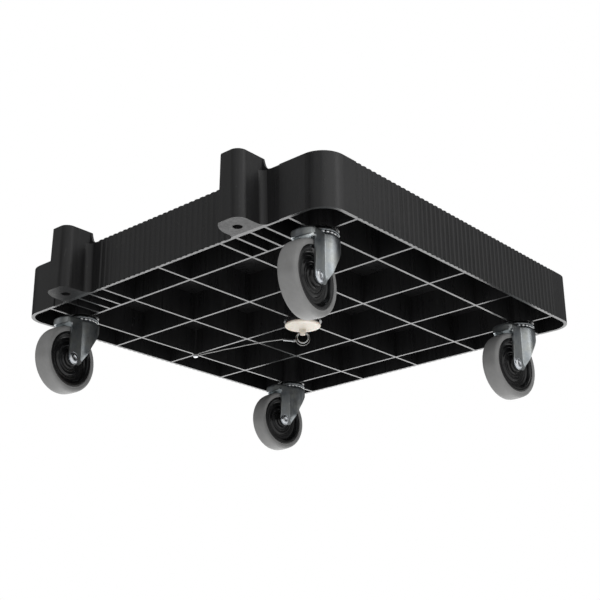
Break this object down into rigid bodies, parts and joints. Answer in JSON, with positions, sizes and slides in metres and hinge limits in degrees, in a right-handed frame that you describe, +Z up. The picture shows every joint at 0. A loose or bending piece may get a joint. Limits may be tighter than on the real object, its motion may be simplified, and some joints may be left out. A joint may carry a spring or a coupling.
{
  "type": "furniture dolly",
  "caption": "Square recessed-deck plastic dolly with fluted rim, ribbed underside, swivel casters, rear handle sockets and a drain stopper on a lanyard.",
  "frame": {"origin": "floor level, at the middle of the overall box, 19.4 mm behind the middle of the square frame", "axes": "+Z up; -X is the rear, where the two handle sockets are; +X front; +Y left"},
  "size_m": [0.5721, 0.5334, 0.195],
  "materials": {
    "frame_plastic": "satin moulded polypropylene, faint flow marks",
    "zinc_steel": "bright blue zinc plate on pressed steel",
    "ball_steel": "polished bearing steel",
    "axle_steel": "zinc plated fastener",
    "hub_plastic": "gloss moulded polypropylene",
    "tyre_rubber": "grey non-marking thermoplastic rubber",
    "cap_plastic": "cream moulded plastic, semi-gloss",
    "seal_rubber": "black rubber",
    "ring_steel": "nickel plated wire",
    "cord_fibre": "pale grey braided cord"
  },
  "bodies": {
    "frame": {"deck_frame": "frame_plastic", "lanyard_cord": "cord_fibre", "lanyard_screw": "axle_steel", "caster_rr_stem": "zinc_steel", "caster_rr_upper_race": "zinc_steel", "caster_rr_lower_race": "zinc_steel", "caster_rl_stem": "zinc_steel", "caster_rl_upper_race": "zinc_steel", "caster_rl_lower_race": "zinc_steel", "caster_fl_stem": "zinc_steel", "caster_fl_upper_race": "zinc_steel", "caster_fl_lower_race": "zinc_steel", "caster_fr_stem": "zinc_steel", "caster_fr_upper_race": "zinc_steel", "caster_fr_lower_race": "zinc_steel"},
    "rear_right_fork_body": {"caster_rr_fork": "zinc_steel", "caster_rr_race_balls": "ball_steel", "caster_rr_kingpin_balls": "ball_steel", "caster_rr_axle": "axle_steel", "caster_rr_axle_nut": "axle_steel", "caster_rr_axle_sleeve": "axle_steel"},
    "rear_right_wheel_body": {"caster_rr_hub": "hub_plastic", "caster_rr_tyre": "tyre_rubber"},
    "rear_left_fork_body": {"caster_rl_fork": "zinc_steel", "caster_rl_race_balls": "ball_steel", "caster_rl_kingpin_balls": "ball_steel", "caster_rl_axle": "axle_steel", "caster_rl_axle_nut": "axle_steel", "caster_rl_axle_sleeve": "axle_steel"},
    "rear_left_wheel_body": {"caster_rl_hub": "hub_plastic", "caster_rl_tyre": "tyre_rubber"},
    "front_left_fork_body": {"caster_fl_fork": "zinc_steel", "caster_fl_race_balls": "ball_steel", "caster_fl_kingpin_balls": "ball_steel", "caster_fl_axle": "axle_steel", "caster_fl_axle_nut": "axle_steel", "caster_fl_axle_sleeve": "axle_steel"},
    "front_left_wheel_body": {"caster_fl_hub": "hub_plastic", "caster_fl_tyre": "tyre_rubber"},
    "front_right_fork_body": {"caster_fr_fork": "zinc_steel", "caster_fr_race_balls": "ball_steel", "caster_fr_kingpin_balls": "ball_steel", "caster_fr_axle": "axle_steel", "caster_fr_axle_nut": "axle_steel", "caster_fr_axle_sleeve": "axle_steel"},
    "front_right_wheel_body": {"caster_fr_hub": "hub_plastic", "caster_fr_tyre": "tyre_rubber"},
    "stopper_body": {"stopper_cap": "cap_plastic", "stopper_seal": "seal_rubber"},
    "ring_body": {"stopper_ring": "ring_steel", "stopper_link": "ring_steel", "lanyard_ferrule": "ring_steel"}
  },
  "joints": [
    {"name": "rear_right_swivel", "type": "hinge", "parent": "frame", "child": "rear_right_fork_body", "pos_m": [-0.1906, -0.21, 0.1012], "axis": [0, 0, 1], "continuous": true},
    {"name": "rear_right_wheel_spin", "type": "hinge", "parent": "rear_right_fork_body", "child": "rear_right_wheel_body", "pos_m": [-0.21826, -0.21432, 0.04445], "axis": [0.1542, -0.988, 0], "continuous": true},
    {"name": "rear_left_swivel", "type": "hinge", "parent": "frame", "child": "rear_left_fork_body", "pos_m": [-0.1906, 0.21, 0.1012], "axis": [0, 0, 1], "continuous": true},
    {"name": "rear_left_wheel_spin", "type": "hinge", "parent": "rear_left_fork_body", "child": "rear_left_wheel_body", "pos_m": [-0.21829, 0.20588, 0.04445], "axis": [0.1471, -0.9891, 0], "continuous": true},
    {"name": "front_left_swivel", "type": "hinge", "parent": "frame", "child": "front_left_fork_body", "pos_m": [0.2294, 0.21, 0.1012], "axis": [0, 0, 1], "continuous": true},
    {"name": "front_left_wheel_spin", "type": "hinge", "parent": "front_left_fork_body", "child": "front_left_wheel_body", "pos_m": [0.20148, 0.21212, 0.04445], "axis": [-0.0757, -0.9971, 0], "continuous": true},
    {"name": "front_right_swivel", "type": "hinge", "parent": "frame", "child": "front_right_fork_body", "pos_m": [0.2294, -0.21, 0.1012], "axis": [0, 0, 1], "continuous": true},
    {"name": "front_right_wheel_spin", "type": "hinge", "parent": "front_right_fork_body", "child": "front_right_wheel_body", "pos_m": [0.20153, -0.20736, 0.04445], "axis": [-0.0943, -0.9955, 0], "continuous": true},
    {"name": "stopper_pull", "type": "slide", "parent": "frame", "child": "stopper_body", "axis": [0, 0, -1], "range_m": [0, 0.03], "deforming": ["lanyard_cord"]},
    {"name": "ring_swing", "type": "hinge", "parent": "stopper_body", "child": "ring_body", "pos_m": [0.031, 0.0104, 0.1001], "axis": [0.6585, -0.7526, 0], "range_deg": [-45, 45]}
  ]
}
